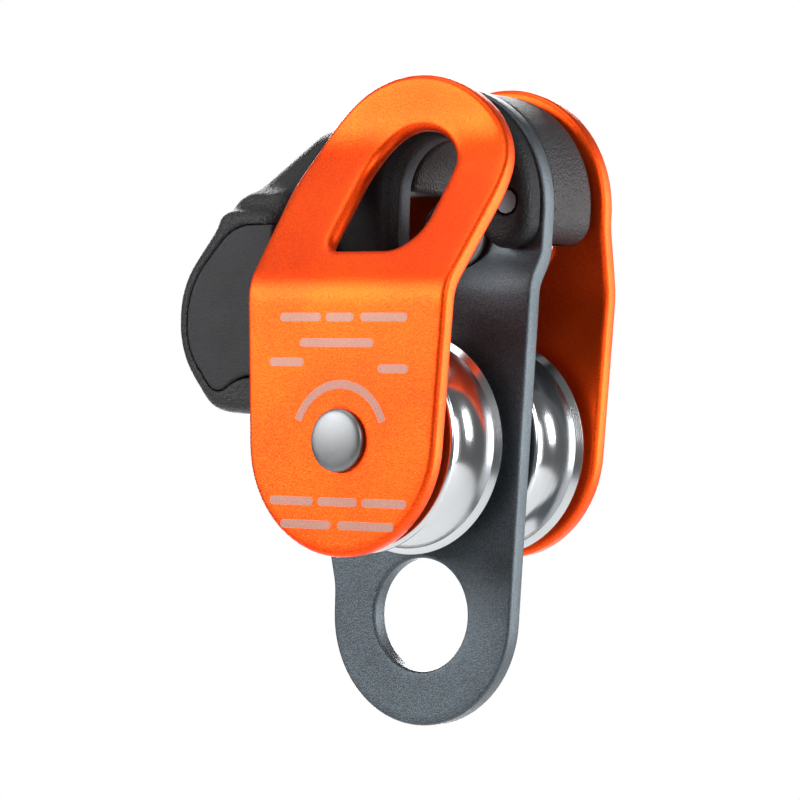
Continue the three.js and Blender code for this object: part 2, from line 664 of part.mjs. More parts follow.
addPiece('cam', cam(), steel);
addPiece('cam_bush', camBush(), bronze);
CAM_RIVETS.forEach((place, i) => addPiece(`cam_rivet_${i + 1}`, camRivet(place), steel));
addPiece('cam_spring', camSpring(), springSteel);
addPiece('lever_stop_pin', stopPin(), steel);
addPiece('lever_body', leverBody(), blackPlastic);
addPiece('lever_lid', leverLid(), blackPlastic);

export default pulley;
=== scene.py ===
import math

import bmesh
import bpy
import numpy as np
from mathutils import Matrix, Vector
from mathutils.geometry import delaunay_2d_cdt

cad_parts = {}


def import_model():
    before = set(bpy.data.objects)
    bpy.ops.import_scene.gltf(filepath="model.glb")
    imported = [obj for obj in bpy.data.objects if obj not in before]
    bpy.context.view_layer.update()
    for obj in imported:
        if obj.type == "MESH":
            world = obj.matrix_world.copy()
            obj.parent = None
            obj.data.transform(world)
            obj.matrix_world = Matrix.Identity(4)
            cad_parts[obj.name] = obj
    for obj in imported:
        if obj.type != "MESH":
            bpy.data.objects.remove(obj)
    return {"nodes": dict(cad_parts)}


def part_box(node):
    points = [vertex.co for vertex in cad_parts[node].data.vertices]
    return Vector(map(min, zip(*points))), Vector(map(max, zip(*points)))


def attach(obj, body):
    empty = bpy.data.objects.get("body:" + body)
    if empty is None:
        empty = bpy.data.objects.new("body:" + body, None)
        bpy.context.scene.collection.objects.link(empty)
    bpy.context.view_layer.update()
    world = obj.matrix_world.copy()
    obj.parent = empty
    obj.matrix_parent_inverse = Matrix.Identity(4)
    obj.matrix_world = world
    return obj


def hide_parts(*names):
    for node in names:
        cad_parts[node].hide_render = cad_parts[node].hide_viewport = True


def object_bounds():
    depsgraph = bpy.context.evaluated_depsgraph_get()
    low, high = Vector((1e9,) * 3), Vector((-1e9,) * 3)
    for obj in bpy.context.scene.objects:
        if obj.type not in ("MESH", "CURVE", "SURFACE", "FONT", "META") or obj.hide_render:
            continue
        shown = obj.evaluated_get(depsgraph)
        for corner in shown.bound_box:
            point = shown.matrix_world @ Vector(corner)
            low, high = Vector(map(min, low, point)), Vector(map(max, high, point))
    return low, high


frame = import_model()
cad_low, cad_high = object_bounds()

MM = 0.001
axle_low, axle_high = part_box("axle")
AXLE = Vector(((axle_low.x + axle_high.x) / 2, 0, (axle_low.z + axle_high.z) / 2))


def place(x, y, z):
    return AXLE + Vector((x, y, z)) * MM


# ---- Driving dimensions ----

GAP = 0.3                                  # clearance between pieces that meet
PLATE_T = 3.35
FRONT_Y, FRONT_TOP_Y = -25.17, -5.85      # middle of each plate at the axle and at its head
CENTRE_Y, CENTRE_TOP_Y = -0.05, 2.9
REAR_Y, REAR_TOP_Y = 24.17, 20.87
FOOT_R, HEAD_R, HEAD_Z = 20.05, 22.4, 42.6
CENTRE_HEAD_R, CENTRE_HEAD_Z = 22.0, 41.8
BECKET_Z, BECKET_EDGE_Z, BECKET_R, BECKET_HOLE_R = -30.14, -30.44, 19.26, 10.0
SLOT_HALF, ANCHOR_Z = 9.4, 45.1
AXLE_HOLE_R = 4.3
PIVOT_X, PIVOT_Z, PIVOT_R, PIVOT_FLANGE_R = 4.2, 37.4, 3.5, 6.3
SHEAVE_R, SHEAVE_W, GROOVE_R, GROOVE_BOTTOM_R = 19.5, 15.3, 6.0, 13.3
SHEAVE_BORE_R = 11.9
FRONT_SHEAVE_Y, REAR_SHEAVE_Y = -12.87, 12.4
LEVER_Y0, LEVER_Y1, LEVER_HEAD_R, HUB_R = 5.0, 18.6, 20.9, 7.0
PADDLE_Y0, PADDLE_INNER_X, PADDLE_OUTER_X, PADDLE_FOOT_Z = -16.0, -24.6, -47.2, 3.2
WALL = 2.5
SPACER_Y0, SPACER_Y1 = -3.6, 0.9
SPACER_SCREWS = ((17, 42.6), (-15.6, 51.5), (0, 59.2))
SCREW_SEAT_R, SCREW_SEAT_DEPTH = 2.4, 1.5
RIVET_HEAD_R, RIVET_HEAD_H, RIVET_SHANK_R = 5.5, 1.4, 4.0
RECESS_R0, RECESS_R1, RECESS_DEPTH = 12.6, 17.6, 0.5     # the shallow ring in each side of a sheave
CAM_Y0, CAM_Y1 = 8.1, 16.1                 # room for the cam between the lever's two cheeks
HUB_BORE_R = 5.4                           # wide bores of the hub: in its front cheek, and round the ring
RING_POCKET_Y, RING_Y0, RING_Y1, RING_GROOVE_R, PIVOT_END_Y = 17.4, 17.45, 18.5, 2.9, 18.8


# ---- Outlines: closed lists of (x, z), counter-clockwise, in millimetres ----

def arc(cx, cz, radius, start, end, step=4.0):
    count = max(1, round(abs(end - start) / step))
    angles = [math.radians(start + (end - start) * i / count) for i in range(count + 1)]
    return [(cx + radius * math.cos(a), cz + radius * math.sin(a)) for a in angles]


def filleted(corners, closed=True, step=6.0):
    """Replaces each corner (x, z, radius) of a path by a tangent arc."""
    points = []
    last = len(corners) - 1
    for i, (x, z, radius) in enumerate(corners):
        here = Vector((x, z))
        if radius == 0 or (not closed and i in (0, last)):
            points.append((x, z))
            continue
        to_before = (Vector(corners[i - 1][:2]) - here).normalized()
        to_after = (Vector(corners[(i + 1) % len(corners)][:2]) - here).normalized()
        half = to_before.angle(to_after) / 2
        bisector = (to_before + to_after).normalized()
        centre = here + bisector * (radius / math.sin(half))
        first = here + to_before * (radius / math.tan(half)) - centre
        turn = math.pi - 2 * half
        if first.x * -bisector.y - first.y * -bisector.x < 0:
            turn = -turn
        count = max(2, math.ceil(abs(turn) / math.radians(step)))
        for k in range(count + 1):
            a = turn * k / count
            points.append((centre.x + first.x * math.cos(a) - first.y * math.sin(a),
                           centre.y + first.x * math.sin(a) + first.y * math.cos(a)))
    return points


def pear(foot_z, foot_r, head_z, head_r):
    lean = math.degrees(math.asin((head_r - foot_r) / (head_z - foot_z)))
    return arc(0, foot_z, foot_r, 180 + lean, 360 - lean) + arc(0, head_z, head_r, -lean, 180 + lean)


def evenly(loop, spacing):
    """The same closed outline with its points spaced evenly."""
    points = np.array(loop + loop[:1])
    steps = np.hypot(*np.diff(points, axis=0).T)
    keep = np.concatenate([[True], steps > 1e-6])
    points, steps = points[keep], steps[steps > 1e-6]
    along = np.concatenate([[0], np.cumsum(steps)])
    count = max(12, round(along[-1] / spacing))
    at = np.linspace(0, along[-1], count, endpoint=False)
    even = np.column_stack([np.interp(at, along, points[:, k]) for k in (0, 1)])
    x, z = even.T
    area = np.sum(x * np.roll(z, -1) - np.roll(x, -1) * z)
    return even if area > 0 else even[::-1]


def inset(loop, distance):
    """Moves a counter-clockwise outline inwards; a negative distance moves it outwards."""
    ahead, behind = np.roll(loop, -1, axis=0), np.roll(loop, 1, axis=0)
    tangent = ahead - behind
    tangent /= np.hypot(*tangent.T)[:, None]
    return loop + np.column_stack([-tangent[:, 1], tangent[:, 0]]) * distance


def inside(points, loop):
    """Which of the points lie inside the outline."""
    x, z = points[:, 0][:, None], points[:, 1][:, None]
    x0, z0 = loop.T
    x1, z1 = np.roll(loop, -1, axis=0).T
    crosses = ((z0 > z) != (z1 > z)) & (x < (x1 - x0) * (z - z0) / (z1 - z0 + 1e-12) + x0)
    return crosses.sum(1) % 2 == 1


# ---- Mesh building ----

def finish_mesh(name, bm, smooth_angle=40):
    bmesh.ops.recalc_face_normals(bm, faces=bm.faces)
    mesh = bpy.data.meshes.new(name)
    bm.to_mesh(mesh)
    bm.free()
    piece = bpy.data.objects.new(name, mesh)
    bpy.context.scene.collection.objects.link(piece)
    mesh.shade_smooth()
    mesh.set_sharp_from_angle(angle=math.radians(smooth_angle))
    return piece


def rounded_edge(front_r, back_r, thickness, steps=5):
    """(inset, height) pairs from the back face to the front face; height runs over the thickness."""
    profile = []
    for i in range(steps + 1):
        a = math.pi / 2 * i / steps
        profile.append((back_r * (1 - math.sin(a)), back_r * (1 - math.cos(a))))
    for i in range(steps + 1):
        a = math.pi / 2 * i / steps
        profile.append((front_r * (1 - math.cos(a)), thickness - front_r * (1 - math.sin(a))))
    return profile


def slab(name, outer, holes, place_point, grid, smooth_angle=40):
    """A sheet with rounded edges. outer and each hole are (outline, profile); place_point(x, height, z)
    gives the point in space, so that it can bend the sheet. grid is the spacing of inner points."""
    bm = bmesh.new()
    loops = [(*outer, 1)] + [(*hole, -1) for hole in holes]
    flat, edges, back_verts, front_verts = [], [], [], []
    for outline, profile, side in loops:
        rings = []
        for distance, height in profile:
            ring = inset(outline, side * distance)
            rings.append([bm.verts.new(place_point(x, height, z)) for x, z in ring])
        count = len(outline)
        for low, high in zip(rings, rings[1:]):
            for i in range(count):
                j = (i + 1) % count
                bm.faces.new((low[i], low[j], high[j], high[i]))
        start = len(flat)
        flat += list(inset(outline, side * profile[0][0]))
        edges += [(start + i, start + (i + 1) % count) for i in range(count)]
        back_verts += rings[0]
        front_verts += rings[-1]
    rims = [flat[start:start + len(o[0])] for o, start in zip(loops, starts(loops))]
    low, high = np.min(rims[0], axis=0), np.max(rims[0], axis=0)
    xs, zs = np.arange(low[0] + grid, high[0], grid), np.arange(low[1] + grid, high[1], grid)
    candidates = np.array([(x, z) for x in xs for z in zs]) if len(xs) and len(zs) else np.empty((0, 2))
    if len(candidates):
        wanted = inside(candidates, inset(np.array(rims[0]), grid * 0.6))
        for rim in rims[1:]:
            wanted &= ~inside(candidates, inset(np.array(rim), -grid * 0.6))
        candidates = candidates[wanted]
    back_depth, front_depth = outer[1][0][1], outer[1][-1][1]
    for x, z in candidates:
        flat.append((x, z))
        back_verts.append(bm.verts.new(place_point(x, back_depth, z)))
        front_verts.append(bm.verts.new(place_point(x, front_depth, z)))
    result = delaunay_2d_cdt([Vector(p) for p in flat], edges, [], 0, 1e-6)
    source = [ids[0] for ids in result[3]]
    corners = np.array([[flat[source[i]] for i in face] for face in result[2]])
    middles = corners.mean(1)
    filled = inside(middles, np.array(rims[0]))
    for rim in rims[1:]:
        filled &= ~inside(middles, np.array(rim))
    for face, is_filled in zip(result[2], filled):
        if is_filled:
            ids = [source[i] for i in face]
            bm.faces.new([front_verts[i] for i in ids])
            bm.faces.new([back_verts[i] for i in reversed(ids)])
    return finish_mesh(name, bm, smooth_angle)


def starts(loops):
    total, found = 0, []
    for outline, _, _ in loops:
        found.append(total)
        total += len(outline)
    return found


def turned(name, profile, sides=128, x=0.0, z=0.0, smooth_angle=35):
    """A closed profile of (radius, y) turned about an axis along Y through x, z."""
    bm = bmesh.new()
    rings = []
    for radius, y in profile:
        if radius < 1e-6:
            rings.append([bm.verts.new(place(x, y, z))] * sides)
            continue
        angles = [2 * math.pi * i / sides for i in range(sides)]
        circle = [(x + radius * math.cos(a), z + radius * math.sin(a)) for a in angles]
        rings.append([bm.verts.new(place(px, y, pz)) for px, pz in circle])
    for low, high in zip(rings, rings[1:] + rings[:1]):
        for i in range(sides):
            j = (i + 1) % sides
            corners = list(dict.fromkeys((low[i], low[j], high[j], high[i])))
            if len(corners) > 2:
                bm.faces.new(corners)
    return finish_mesh(name, bm, smooth_angle)


def cut(piece, tool):
    """Cuts tool out of a piece, and removes tool."""
    modifier = piece.modifiers.new("cut", "BOOLEAN")
    modifier.operation = "DIFFERENCE"
    modifier.solver = "EXACT"
    modifier.object = tool
    bpy.context.view_layer.update()
    shaped = piece.evaluated_get(bpy.context.evaluated_depsgraph_get())
    mesh = bpy.data.meshes.new_from_object(shaped)
    piece.modifiers.clear()
    piece.data = mesh
    bpy.data.objects.remove(tool)
    mesh.set_sharp_from_angle(angle=math.radians(35))
    return piece


# ---- Moulded shapes: signed distances on a grid of points, meshed where they are zero ----

class Block:
    """A box of evenly spaced points; x, y and z run along its three directions."""

    def __init__(self, low, high, step):
        self.step = step
        self.axes = [np.arange(a - 2 * step, b + 3 * step, step) for a, b in zip(low, high)]
        self.x, self.y, self.z = (axis.reshape([-1 if i == k else 1 for i in range(3)])
                                  for k, axis in enumerate(self.axes))

    def along_y(self, loop):
        """Distance to an endless prism along Y with the outline loop of (x, z)."""
        return outline_distance(loop, self.axes[0], self.axes[2])[:, None, :]

    def along_x(self, loop):
        """Distance to an endless prism along X with the outline loop of (y, z)."""
        return outline_distance(loop, self.axes[1], self.axes[2])[None, :, :]

    def slice_y(self, y0, y1):
        return np.maximum(y0 - self.y, self.y - y1)


def outline_distance(loop, across, up):
    """Signed distances of a grid's points to a closed outline; negative inside."""
    a, b = np.meshgrid(across, up, indexing="ij")
    nearest = np.full(a.shape, 1e9)
    is_inside = np.zeros(a.shape, bool)
    for (x0, z0), (x1, z1) in zip(loop, np.roll(loop, -1, axis=0)):
        dx, dz = x1 - x0, z1 - z0
        t = np.clip(((a - x0) * dx + (b - z0) * dz) / (dx * dx + dz * dz + 1e-12), 0, 1)
        nearest = np.minimum(nearest, (a - x0 - t * dx) ** 2 + (b - z0 - t * dz) ** 2)
        if z0 != z1:
            is_inside ^= ((z0 > b) != (z1 > b)) & (a < dx * (b - z0) / dz + x0)
    return np.where(is_inside, -1, 1) * np.sqrt(nearest)


def meet(a, b, radius):
    """Where a and b overlap, with the edge between them rounded to a radius."""
    a, b = a + radius, b + radius
    return np.minimum(np.maximum(a, b), 0) + np.hypot(np.maximum(a, 0), np.maximum(b, 0)) - radius


def merge(a, b, radius):
    """a and b together, with the corner between them filled to a radius."""
    blend = np.clip(0.5 + 0.5 * (b - a) / radius, 0, 1)
    return b * (1 - blend) + a * blend - radius * blend * (1 - blend)


def carve(a, b, radius):
    """a without b, with the edge of the cut rounded to a radius."""
    return meet(a, -b, radius)


def surface(name, block, field, smooth_angle=50):
    """A mesh of a field's zero level, with one vertex in each cell of points that it crosses."""
    field = np.broadcast_to(field, [len(axis) for axis in block.axes])
    cells = [n - 1 for n in field.shape]
    total, count = np.zeros(cells + [3]), np.zeros(cells)
    for k in range(3):
        u, v = (k + 1) % 3, (k + 2) % 3
        for du in (0, 1):
            for dv in (0, 1):
                near = [slice(0, n) for n in cells]
                near[u], near[v] = slice(du, du + cells[u]), slice(dv, dv + cells[v])
                far = list(near)
                far[k] = slice(1, cells[k] + 1)
                a, b = field[tuple(near)], field[tuple(far)]
                crossed = (a < 0) != (b < 0)
                total[..., k] += np.where(crossed, a / np.where(crossed, a - b, 1), 0)
                total[..., u] += du * crossed
                total[..., v] += dv * crossed
                count += crossed
    used = count > 0
    index = np.zeros(cells, int)
    index[used] = np.arange(used.sum())
    origin = np.array([axis[0] for axis in block.axes])
    points = (np.argwhere(used) + total[used] / count[used][:, None]) * block.step + origin
    quads = []
    for k in range(3):
        u, v = (k + 1) % 3, (k + 2) % 3
        near = [slice(1, n) for n in cells]
        near[k] = slice(0, cells[k])
        far = list(near)
        far[k] = slice(1, cells[k] + 1)
        a, b = field[tuple(near)], field[tuple(far)]
        at = np.argwhere((a < 0) != (b < 0))
        starts_inside = (a < 0)[tuple(at.T)]
        at += [0 if i == k else 1 for i in range(3)]
        step_u, step_v = np.eye(3, dtype=int)[u], np.eye(3, dtype=int)[v]
        ring = [index[tuple((at - shift).T)] for shift in (0 * step_u, step_u, step_u + step_v, step_v)]
        ring = np.stack(ring, 1)
        quads.append(np.where(starts_inside[:, None], ring, ring[:, ::-1]))
    mesh = bpy.data.meshes.new(name)
    mesh.from_pydata([place(*point) for point in points], [], np.concatenate(quads).tolist())
    mesh.validate()
    piece = bpy.data.objects.new(name, mesh)
    bpy.context.scene.collection.objects.link(piece)
    mesh.shade_smooth()
    mesh.set_sharp_from_angle(angle=math.radians(smooth_angle))
    return piece


# ---- Materials ----

def shader(name, color, roughness, metallic=0.0):
    material = bpy.data.materials.new(name)
    material.use_nodes = True
    principled = material.node_tree.nodes["Principled BSDF"]
    principled.inputs["Base Color"].default_value = (*color, 1)
    principled.inputs["Roughness"].default_value = roughness
    principled.inputs["Metallic"].default_value = metallic
    return material, material.node_tree, principled


def coordinates(tree):
    return tree.nodes.new("ShaderNodeTexCoord").outputs["Object"]


def noise(tree, scale, detail=2.0, vector=None, roughness=0.5):
    node = tree.nodes.new("ShaderNodeTexNoise")
    node.inputs["Scale"].default_value = scale
    node.inputs["Detail"].default_value = detail
    node.inputs["Roughness"].default_value = roughness
    tree.links.new(vector or coordinates(tree), node.inputs["Vector"])
    return node.outputs["Fac"]


def ramp(tree, value, *stops):
    """stops are (position, colour)."""
    node = tree.nodes.new("ShaderNodeValToRGB")
    elements = node.color_ramp.elements
    while len(elements) < len(stops):
        elements.new(0.5)
    for element, (position, color) in zip(elements, stops):
        element.position = position
        element.color = (*color, 1)
    tree.links.new(value, node.inputs["Fac"])
    return node.outputs["Color"]


def spread(tree, value, low, high):
    node = tree.nodes.new("ShaderNodeMapRange")
    node.inputs["To Min"].default_value = low
    node.inputs["To Max"].default_value = high
    tree.links.new(value, node.inputs["Value"])
    return node.outputs["Result"]


def bump(tree, principled, height, strength, distance):
    node = tree.nodes.new("ShaderNodeBump")
    node.inputs["Strength"].default_value = strength
    node.inputs["Distance"].default_value = distance
    tree.links.new(height, node.inputs["Height"])
    tree.links.new(node.outputs["Normal"], principled.inputs["Normal"])


def anodised(name, dark, light, roughness, grain_scale, grain_depth, coat):
    """Bead-blasted, dyed aluminium under a clear oxide layer: a fine grain in colour, gloss and height."""
    material, tree, principled = shader(name, light, roughness, 0.9)
    principled.inputs["Coat Weight"].default_value = coat
    principled.inputs["Coat Roughness"].default_value = 0.42
    grain = noise(tree, grain_scale, 3, roughness=0.65)
    cloud = noise(tree, 60, 2)
    blend = tree.nodes.new("ShaderNodeMath")
    blend.operation = "MULTIPLY_ADD"
    tree.links.new(grain, blend.inputs[0])
    blend.inputs[1].default_value = 0.75
    tree.links.new(spread(tree, cloud, 0.0, 0.25), blend.inputs[2])
    tree.links.new(ramp(tree, blend.outputs[0], (0.4, dark), (0.62, light)), principled.inputs["Base Color"])
    tree.links.new(spread(tree, grain, roughness - 0.05, roughness + 0.07), principled.inputs["Roughness"])
    bump(tree, principled, grain, 0.5, grain_depth)
    return material


def turned_metal(name, color, roughness, line_scale, depth):
    """Metal turned on a lathe: fine rings that follow the distance from the axle and along it."""
    material, tree, principled = shader(name, color, roughness, 1.0)
    split = tree.nodes.new("ShaderNodeSeparateXYZ")
    tree.links.new(coordinates(tree), split.inputs[0])
    lift = tree.nodes.new("ShaderNodeMath")
    lift.operation = "SUBTRACT"
    tree.links.new(split.outputs["Z"], lift.inputs[0])
    lift.inputs[1].default_value = AXLE.z
    flat = tree.nodes.new("ShaderNodeCombineXYZ")
    tree.links.new(split.outputs["X"], flat.inputs["X"])
    tree.links.new(lift.outputs[0], flat.inputs["Y"])
    length = tree.nodes.new("ShaderNodeVectorMath")
    length.operation = "LENGTH"
    tree.links.new(flat.outputs[0], length.inputs[0])
    along = tree.nodes.new("ShaderNodeCombineXYZ")
    tree.links.new(length.outputs["Value"], along.inputs["X"])
    tree.links.new(split.outputs["Y"], along.inputs["Y"])
    rings = noise(tree, line_scale, 2, along.outputs[0], 0.7)
    smudge = noise(tree, 90, 3)
    tree.links.new(spread(tree, smudge, roughness * 0.7, roughness * 1.5), principled.inputs["Roughness"])
    dark = tuple(c * 0.9 for c in color)
    tree.links.new(ramp(tree, rings, (0.3, dark), (0.7, color)), principled.inputs["Base Color"])
    bump(tree, principled, rings, 0.35, depth)
    return material


def moulded(name, color, roughness, grain_scale=2600, depth=0.00006, specular=0.32):
    """Black moulded plastic or rubber with a fine spark-eroded texture."""
    material, tree, principled = shader(name, color, roughness)
    grain = noise(tree, grain_scale, 2)
    scuff = noise(tree, 140, 4)
    light = tuple(c * 1.5 for c in color)
    principled.inputs["Specular IOR Level"].default_value = specular
    tree.links.new(ramp(tree, scuff, (0.35, color), (0.75, light)), principled.inputs["Base Color"])
    tree.links.new(spread(tree, grain, roughness - 0.07, roughness + 0.1), principled.inputs["Roughness"])
    bump(tree, principled, grain, 0.6, depth)
    return material


def drawn_metal(name, color, roughness):
    """Plain satin metal with faint scratches."""
    material, tree, principled = shader(name, color, roughness, 1.0)
    marks = noise(tree, 900, 4, roughness=0.7)
    tree.links.new(spread(tree, marks, roughness - 0.06, roughness + 0.1), principled.inputs["Roughness"])
    dark = tuple(c * 0.88 for c in color)
    tree.links.new(ramp(tree, marks, (0.3, dark), (0.7, color)), principled.inputs["Base Color"])
    bump(tree, principled, marks, 0.25, 0.00002)
    return material


ORANGE = anodised("orange_anodised", (0.74, 0.042, 0.001), (0.97, 0.094, 0.002), 0.39,
                  grain_scale=3600, grain_depth=0.00009, coat=0.06)
GREY = anodised("grey_anodised", (0.040, 0.049, 0.057), (0.090, 0.109, 0.122), 0.40,
                grain_scale=4400, grain_depth=0.0002, coat=0.1)
ETCHED = anodised("etched_marks", (0.27, 0.13, 0.10), (0.35, 0.19, 0.155), 0.5,
                  grain_scale=5200, grain_depth=0.00002, coat=0.0)
ALUMINIUM = turned_metal("turned_aluminium", (0.52, 0.535, 0.55), 0.17, 3000, 0.00004)
STEEL = drawn_metal("bright_steel", (0.26, 0.265, 0.27), 0.34)
RIVET_STEEL = drawn_metal("rivet_steel", (0.19, 0.195, 0.20), 0.42)
DARK_STEEL = drawn_metal("dark_steel", (0.09, 0.093, 0.097), 0.5)
SPRING = drawn_metal("spring_steel", (0.46, 0.47, 0.49), 0.34)
BRONZE = drawn_metal("bronze", (0.62, 0.43, 0.20), 0.38)
PLASTIC = moulded("black_plastic", (0.009, 0.0092, 0.0105), 0.48, 2200, 0.0006)
# The spacer's plastic is a darker, less glossy copy of black_plastic: painted shade for the spacer, which
# sits in shade behind the front plate.
SHADED_SPACER_PLASTIC = moulded("black_plastic_spacer_painted_shade", (0.006, 0.0061, 0.007), 0.46, 2200, 0.0005, 0.14)
# The lid's plastic is rougher and finer-grained than the body's, and it is lighter. The lighter colour is
# painted light on the lid's front face.
LIT_LID_PLASTIC = moulded("black_plastic_lid_painted_light", (0.012, 0.0122, 0.014), 0.60, 3000, 0.00035)
RUBBER = moulded("black_rubber", (0.015, 0.015, 0.015), 0.6)


def dress(piece, body, material, slot, *nodes):
    """Gives a finished piece its material and its body, and hides the CAD nodes that it stands for; slot is
    not used.
    """
    piece.data.materials.clear()
    piece.data.materials.append(material)
    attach(piece, body)
    if nodes:
        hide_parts(*nodes)
    return piece


# ---- Plates ----

def bend_line(*corners):
    """The middle of a bent sheet as points of (y, z)."""
    return np.array(filleted(corners, closed=False, step=1.0))


def strip_section(line, thickness):
    """The closed outline, in y and z, of a sheet of this thickness about a line."""
    ahead, behind = np.vstack([line[1:], line[-1:]]), np.vstack([line[:1], line[:-1]])
    along = (ahead - behind) / np.hypot(*(ahead - behind).T)[:, None]
    normal = np.column_stack([along[:, 1], -along[:, 0]]) * thickness / 2
    return np.vstack([line + normal, (line - normal)[::-1]])


def bend_path(line):
    """place_point for slab(): puts a flat sheet's points on a bent sheet."""
    slope = np.arctan2(np.diff(line[:, 0]), np.diff(line[:, 1]))
    middle = (line[1:, 1] + line[:-1, 1]) / 2

    def bent(x, height, z):
        y, lean = np.interp(z, line[:, 1], line[:, 0]), np.interp(z, middle, slope)
        offset = PLATE_T / 2 - height
        return place(x, y + offset * math.cos(lean), z - offset * math.sin(lean))

    return bent


# Each line runs past its plate at both ends: (y, z, radius of the bend).
BELOW, ABOVE = -60, 80
front_line = bend_line((FRONT_Y, BELOW, 0), (FRONT_Y, 26.7, 8),
                       (FRONT_TOP_Y, 52.4, 18), (FRONT_TOP_Y, ABOVE, 0))
centre_line = bend_line((CENTRE_Y, BELOW, 0), (CENTRE_Y, 28.5, 6),
                        (CENTRE_TOP_Y, 33.5, 6), (CENTRE_TOP_Y, ABOVE, 0))
rear_line = bend_line((REAR_Y, BELOW, 0), (REAR_Y, 28, 16), (REAR_TOP_Y, 40, 16), (REAR_TOP_Y, ABOVE, 0))
front_bend, centre_bend, rear_bend = bend_path(front_line), bend_path(centre_line), bend_path(rear_line)


def round_hole(x, z, radius, spacing=0.5):
    return evenly(arc(x, z, radius, 0, 357, 3), spacing)


def side_plate(name, bend, slot_bottom, slot_top):
    outline = evenly(pear(0, FOOT_R, HEAD_Z, HEAD_R), 0.8)
    slot = evenly(filleted([(-8, slot_bottom, 2.5), (10.8, slot_bottom, 6), (10.8, slot_top, 9.35),
                            (-8, slot_top, 9.35)]), 0.6)
    edge = rounded_edge(1.0, 1.0, PLATE_T)
    lip = rounded_edge(1.5, 1.5, PLATE_T, 6)
    bore = rounded_edge(0.3, 0.3, PLATE_T, 2)
    return slab(name, (outline, edge), [(slot, lip), (round_hole(0, 0, AXLE_HOLE_R), bore)], bend, 1.2)


def centre_plate():
    lean = math.degrees(math.asin((CENTRE_HEAD_R - BECKET_R) / (CENTRE_HEAD_Z - BECKET_EDGE_Z)))
    flank = filleted([(-20.9, 16, 0), (-21.35, -17, 6), (-19.3, -25.6, 12),
                      (-BECKET_R, BECKET_EDGE_Z, 0)], closed=False)
    outline = arc(0, CENTRE_HEAD_Z, CENTRE_HEAD_R, -lean, 180 + lean) + flank[:-1]
    outline += arc(0, BECKET_EDGE_Z, BECKET_R, 180, 360 - lean)
    slot = filleted([(-SLOT_HALF, 45, 0), (-SLOT_HALF, 34.2, 2.2), (-4, 34.2, 2.2), (-4, 40.4, 4),
                     (0, 44.5, 4), (SLOT_HALF, 44.5, 0)], closed=False)
    slot += arc(0, ANCHOR_Z, SLOT_HALF, 0, 180)
    edge = rounded_edge(0.55, 0.55, PLATE_T, 4)
    bore = rounded_edge(0.2, 0.2, PLATE_T, 2)
    becket = (round_hole(0, BECKET_Z, BECKET_HOLE_R), rounded_edge(0.7, 0.7, PLATE_T))
    pivot = (round_hole(PIVOT_X, PIVOT_Z, PIVOT_R + GAP, 0.4), bore)
    holes = [(evenly(slot, 0.5), edge), becket, (round_hole(0, 0, AXLE_HOLE_R), bore), pivot]
    plate = slab("centre_plate_blank", (evenly(outline, 0.8), edge), holes, centre_bend, 1.2)
    top_face = CENTRE_TOP_Y - PLATE_T / 2
    seat_r, seat_front = PIVOT_FLANGE_R + 0.4, -9
    seat_profile = [(0, seat_front), (seat_r, seat_front), (seat_r, top_face), (0, top_face)]
    plate = cut(plate, turned("seat", seat_profile, 96, PIVOT_X, PIVOT_Z))
    plate.name = "centre_plate_shaped"
    return plate


for end, bend, slot_bottom, slot_top in (("front", front_bend, 32.5, 55.1), ("rear", rear_bend, 33.2, 55.3)):
    shaped = side_plate(f"{end}_plate_shaped", bend, slot_bottom, slot_top)
    dress(shaped, f"{end}_side", ORANGE, "orange_anodised", f"{end}_plate")
dress(centre_plate(), "centre", GREY, "grey_anodised", "centre_plate")


# ---- Etched marks on the front plate: plain bars and a ring segment ----

MARK_DEPTH = 0.06
MARK_BAR_R = 0.75
MARK_BARS = (                              # (left x, right x, z) of each bar
    (-13, -5.5, 21.2), (-3, 1.5, 21.2), (4.5, 13, 21.2), (-8.5, 6, 16.8), (8.5, 13.5, 12.4),
    (-15, -9, 13.4), (-14, -6, -10.6), (-3.5, 3.5, -10.6), (6, 14, -10.6), (-11.5, -2, -14.6),
    (1, 11.5, -14.6),
)
MARK_RING_R0, MARK_RING_R1 = 8.9, 10.4


def etched_marks():
    bm = bmesh.new()
    face_y = FRONT_Y - PLATE_T / 2
    loops = [arc(x1, z, MARK_BAR_R, -90, 90, 15) + arc(x0, z, MARK_BAR_R, 90, 270, 15)
             for x0, x1, z in MARK_BARS]
    loops.append(arc(0, 0, MARK_RING_R1, 20, 160, 3) + arc(0, 0, MARK_RING_R0, 160, 20, 3))
    for loop in loops:
        base = bm.faces.new([bm.verts.new(place(x, face_y + MARK_DEPTH / 2, z)) for x, z in loop])
        extruded = bmesh.ops.extrude_face_region(bm, geom=[base])["geom"]
        top = [part for part in extruded if isinstance(part, bmesh.types.BMVert)]
        bmesh.ops.translate(bm, vec=(0, -MARK_DEPTH * MM, 0), verts=top)
    return finish_mesh("front_plate_marks", bm)


dress(etched_marks(), "front_side", ETCHED, "orange_anodised")


# ---- Axle and sheaves ----

def rivet_profile():
    front, rear = FRONT_Y - PLATE_T / 2 - GAP, REAR_Y + PLATE_T / 2 + GAP
    head, edge, shank = RIVET_HEAD_R, 0.35, RIVET_SHANK_R
    dome = RIVET_HEAD_H - edge

    def height(r):
        """A shallow bow with a steep shoulder at the head's rim."""
        return 0.45 * dome * (1 - (r / head) ** 2) + 0.55 * dome * (1 - (r / head) ** 12) ** 0.5

    crown = [(r, height(r)) for r in head * np.sin(np.linspace(0, math.pi / 2, 28))]
    front_crown = [(r, front - edge - h) for r, h in crown]
    rear_crown = [(r, rear + edge + h) for r, h in reversed(crown)]
    return front_crown + [(head, front), (shank, front), (shank, rear), (head, rear)] + rear_crown


